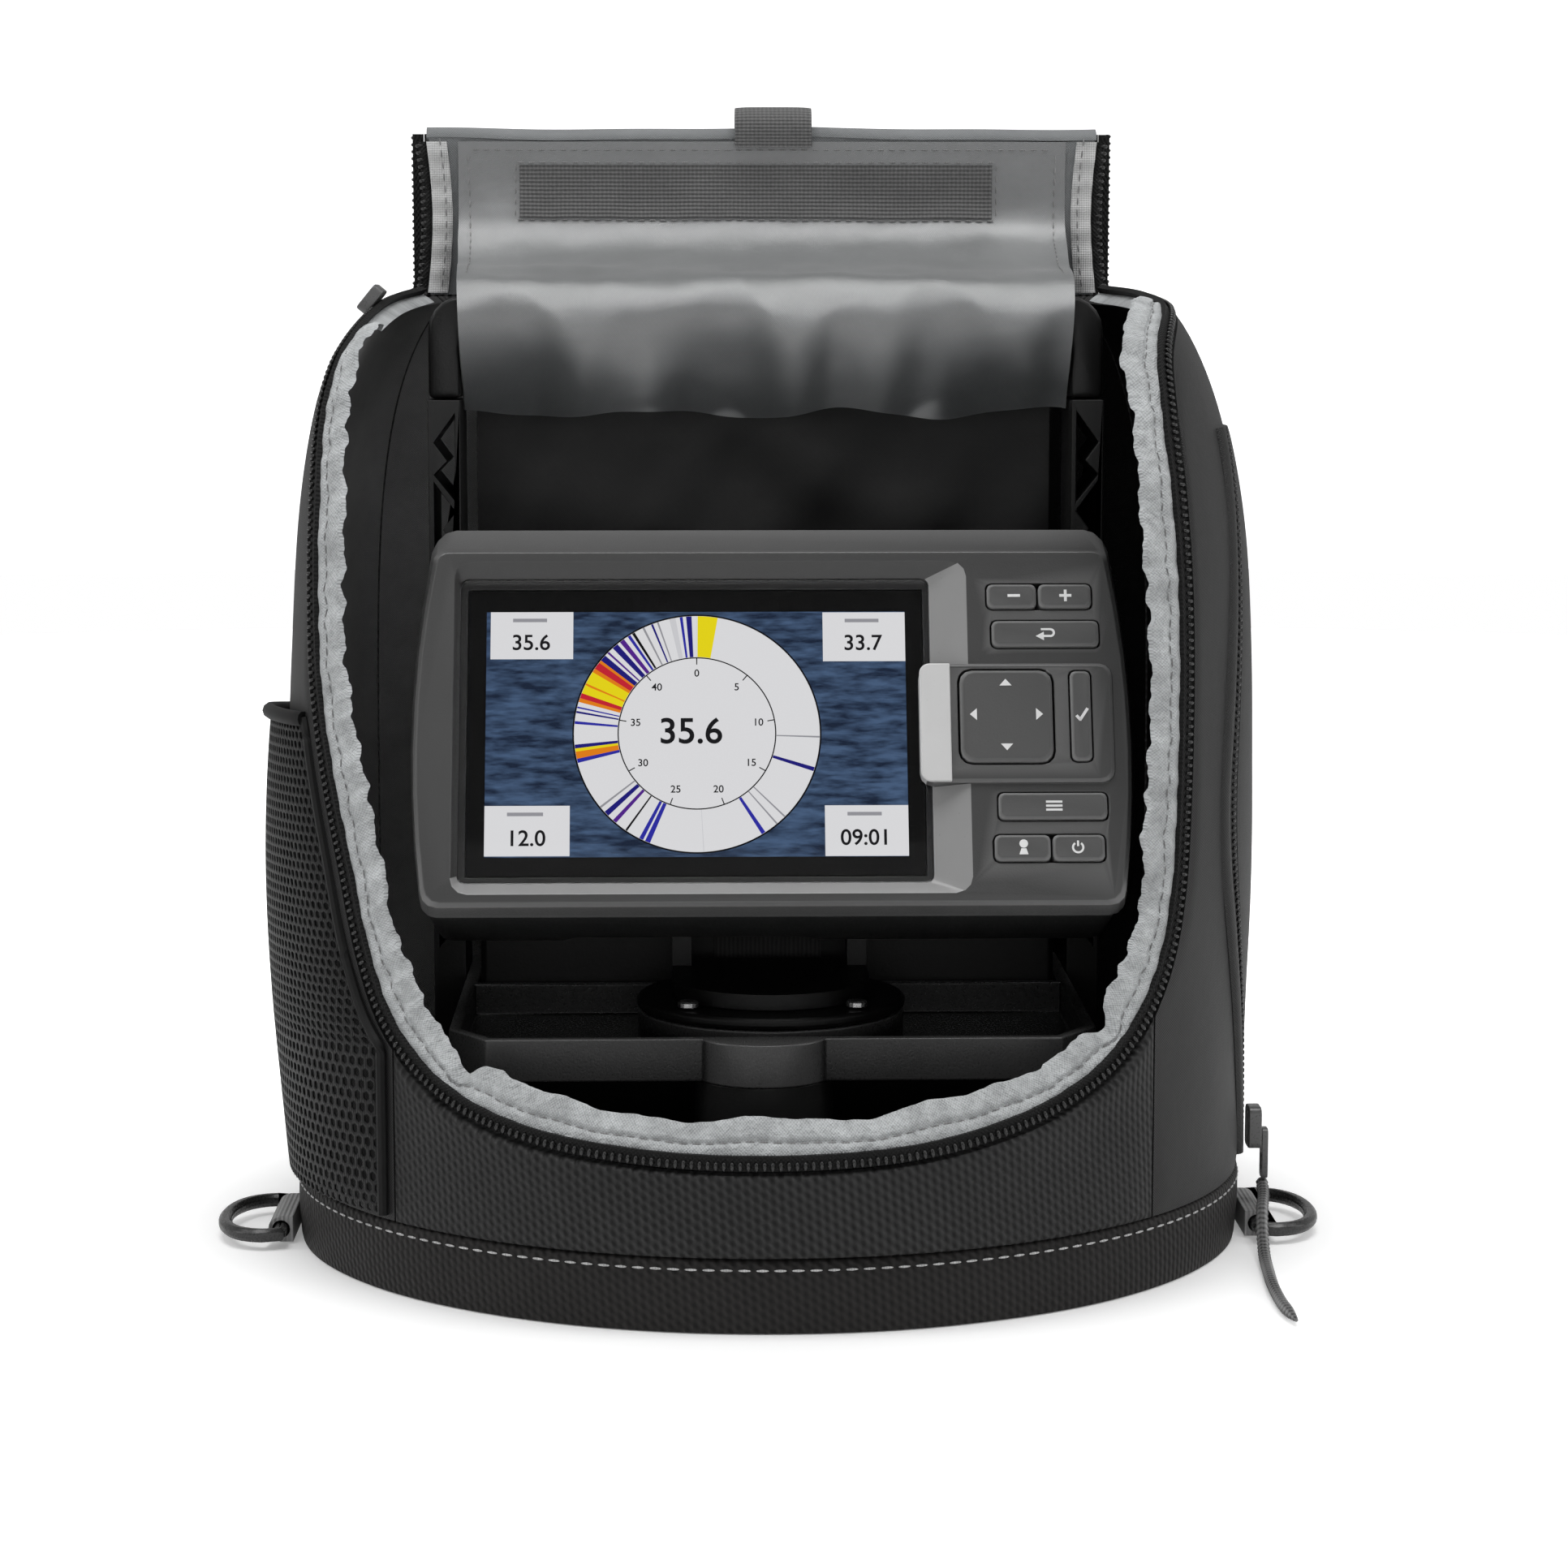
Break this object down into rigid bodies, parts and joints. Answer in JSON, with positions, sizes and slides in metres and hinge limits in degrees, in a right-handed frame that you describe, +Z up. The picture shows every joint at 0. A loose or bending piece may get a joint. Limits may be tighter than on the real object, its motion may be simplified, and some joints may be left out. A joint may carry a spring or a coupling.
{
  "type": "portable fish finder kit",
  "caption": "Portable fish finder: sonar display on a tilt and swivel mount, on a moulded carry frame with a battery, in an unzipped padded bag.",
  "frame": {"origin": "on the ground, on the underside of the bag, on its middle line", "axes": "+Z up, +X to the viewer's right facing the display, +Y to the rear; the display faces -Y"},
  "size_m": [0.2856, 0.2021, 0.2926],
  "materials": {
    "charcoal_fabric": "woven dobby polyester, padded",
    "band_fabric": "coarse woven band with contrast stitching",
    "side_nylon": "smooth coated nylon",
    "facing_fabric": "light gathered facing",
    "lining_fabric": "gray lining",
    "flap_satin": "gray satin",
    "webbing": "gray woven webbing",
    "zipper_coil": "black coil zipper tape",
    "mesh_net": "open knit net",
    "zipper_metal": "black painted die-cast slider",
    "frame_plastic": "black moulded nylon",
    "unit_plastic": "fine-textured charcoal moulding",
    "key_rubber": "moulded keypad rubber",
    "steel": "plated steel",
    "display_glass": "flat cover glass, black printed border",
    "lcd_panel": "colour display module",
    "circuit_board": "green laminate"
  },
  "bodies": {
    "bag": {"bag_bottom_panel": "charcoal_fabric", "bag_base_band": "band_fabric", "bag_front_panel": "charcoal_fabric", "bag_left_panel": "side_nylon", "bag_right_panel": "side_nylon", "bag_back_panel": "side_nylon", "opening_facing": "facing_fabric", "main_zipper_tape": "zipper_coil", "main_zipper_slider": "zipper_metal", "lid_top_panel": "lining_fabric", "handle_flap": "flap_satin", "lid_strap": "webbing", "mesh_pocket": "mesh_net", "side_pocket_panel": "side_nylon", "side_zipper_tape": "zipper_coil", "d_ring_tab_left": "webbing", "d_ring_tab_right": "webbing", "base_tray": "frame_plastic", "left_upright": "frame_plastic", "right_upright": "frame_plastic", "carry_handle": "frame_plastic", "mount_shelf": "frame_plastic", "front_post": "frame_plastic", "battery_case": "frame_plastic", "battery_cover": "frame_plastic", "battery_terminal_negative": "steel", "battery_terminal_positive": "steel", "battery_strap": "webbing", "swivel_base": "frame_plastic", "swivel_screw_left": "steel", "swivel_screw_right": "steel"},
    "lid": {"lid_front_panel": "lining_fabric", "lid_zipper_tape": "zipper_coil"},
    "side_slider": {"side_zipper_slider": "zipper_metal"},
    "side_pull": {"side_zipper_pull": "frame_plastic", "side_pull_cord": "webbing"},
    "ring_left": {"d_ring_left": "frame_plastic"},
    "ring_right": {"d_ring_right": "frame_plastic"},
    "swivel": {"yoke": "frame_plastic", "tilt_pin": "steel"},
    "knob": {"tilt_knob": "frame_plastic"},
    "mount_head": {"cradle": "frame_plastic"},
    "latch": {"release_latch": "unit_plastic"},
    "unit": {"front_bezel": "unit_plastic", "rear_housing": "unit_plastic", "display_glass": "display_glass", "lcd_panel": "lcd_panel", "circuit_board": "circuit_board", "keypad_membrane": "key_rubber", "power_socket": "frame_plastic"},
    "minus_key_body": {"minus_key": "key_rubber"},
    "plus_key_body": {"plus_key": "key_rubber"},
    "back_key_body": {"back_key": "key_rubber"},
    "select_key_body": {"select_key": "key_rubber"},
    "menu_key_body": {"menu_key": "key_rubber"},
    "mark_key_body": {"mark_key": "key_rubber"},
    "power_key_body": {"power_key": "key_rubber"},
    "dpad_rocker": {"dpad_pivot": "key_rubber"},
    "dpad_body": {"dpad": "key_rubber"}
  },
  "joints": [
    {"name": "lid_fold", "type": "hinge", "parent": "bag", "child": "lid", "pos_m": [0, 0.0928, 0.2858], "axis": [1, 0, 0], "range_deg": [0, 150], "deforming": ["lid_strap"]},
    {"name": "side_zip", "type": "slide", "parent": "bag", "child": "side_slider", "axis": [-0.0716, -0.3377, 0.9385], "range_m": [0, 0.05], "deforming": ["side_pull_cord"]},
    {"name": "side_pull_swing", "type": "hinge", "parent": "side_slider", "child": "side_pull", "pos_m": [0.1286, -0.0015, 0.026], "axis": [0, -1, 0], "range_deg": [0, 50], "deforming": ["side_pull_cord"]},
    {"name": "ring_left_swing", "type": "hinge", "parent": "bag", "child": "ring_left", "pos_m": [-0.1255, 0, 0.0038], "axis": [0, 1, 0], "range_deg": [-3, 70]},
    {"name": "ring_right_swing", "type": "hinge", "parent": "bag", "child": "ring_right", "pos_m": [0.1255, 0, 0.0038], "axis": [0, -1, 0], "range_deg": [-3, 40]},
    {"name": "swivel", "type": "hinge", "parent": "bag", "child": "swivel", "pos_m": [0, -0.018, 0.066], "axis": [0, 0, 1], "range_deg": [-3.5, 3.5]},
    {"name": "tilt", "type": "hinge", "parent": "swivel", "child": "mount_head", "pos_m": [0, 0.004, 0.098], "axis": [-1, 0, 0], "range_deg": [-10, 15]},
    {"name": "knob_turn", "type": "hinge", "parent": "swivel", "child": "knob", "pos_m": [0.0327, 0.004, 0.098], "axis": [1, 0, 0], "range_deg": [0, 360]},
    {"name": "unit_release", "type": "slide", "parent": "mount_head", "child": "unit", "axis": [0, -0.9205, 0.3907], "range_m": [0, 0.06]},
    {"name": "latch_lift", "type": "slide", "parent": "mount_head", "child": "latch", "axis": [0, 0.3907, 0.9205], "range_m": [0, 0.003], "stiffness_N_per_m": 120},
    {"name": "minus_key_press", "type": "slide", "parent": "unit", "child": "minus_key_body", "axis": [0, 0.9205, -0.3907], "range_m": [0, 0.0008], "stiffness_N_per_m": 600},
    {"name": "plus_key_press", "type": "slide", "parent": "unit", "child": "plus_key_body", "axis": [0, 0.9205, -0.3907], "range_m": [0, 0.0008], "stiffness_N_per_m": 600},
    {"name": "back_key_press", "type": "slide", "parent": "unit", "child": "back_key_body", "axis": [0, 0.9205, -0.3907], "range_m": [0, 0.0008], "stiffness_N_per_m": 600},
    {"name": "select_key_press", "type": "slide", "parent": "unit", "child": "select_key_body", "axis": [0, 0.9205, -0.3907], "range_m": [0, 0.0008], "stiffness_N_per_m": 600},
    {"name": "menu_key_press", "type": "slide", "parent": "unit", "child": "menu_key_body", "axis": [0, 0.9205, -0.3907], "range_m": [0, 0.0008], "stiffness_N_per_m": 600},
    {"name": "mark_key_press", "type": "slide", "parent": "unit", "child": "mark_key_body", "axis": [0, 0.9205, -0.3907], "range_m": [0, 0.0008], "stiffness_N_per_m": 600},
    {"name": "power_key_press", "type": "slide", "parent": "unit", "child": "power_key_body", "axis": [0, 0.9205, -0.3907], "range_m": [0, 0.0008], "stiffness_N_per_m": 600},
    {"name": "dpad_rock_up_down", "type": "hinge", "parent": "unit", "child": "dpad_rocker", "pos_m": [0.0572, -0.04045, 0.13808], "axis": [1, 0, 0], "range_deg": [-4, 4], "stiffness_Nm_per_rad": 0.4},
    {"name": "dpad_rock_left_right", "type": "hinge", "parent": "dpad_rocker", "child": "dpad_body", "pos_m": [0.0572, -0.04045, 0.13808], "axis": [0, 0.3907, 0.9205], "range_deg": [-4, 4], "stiffness_Nm_per_rad": 0.4}
  ]
}
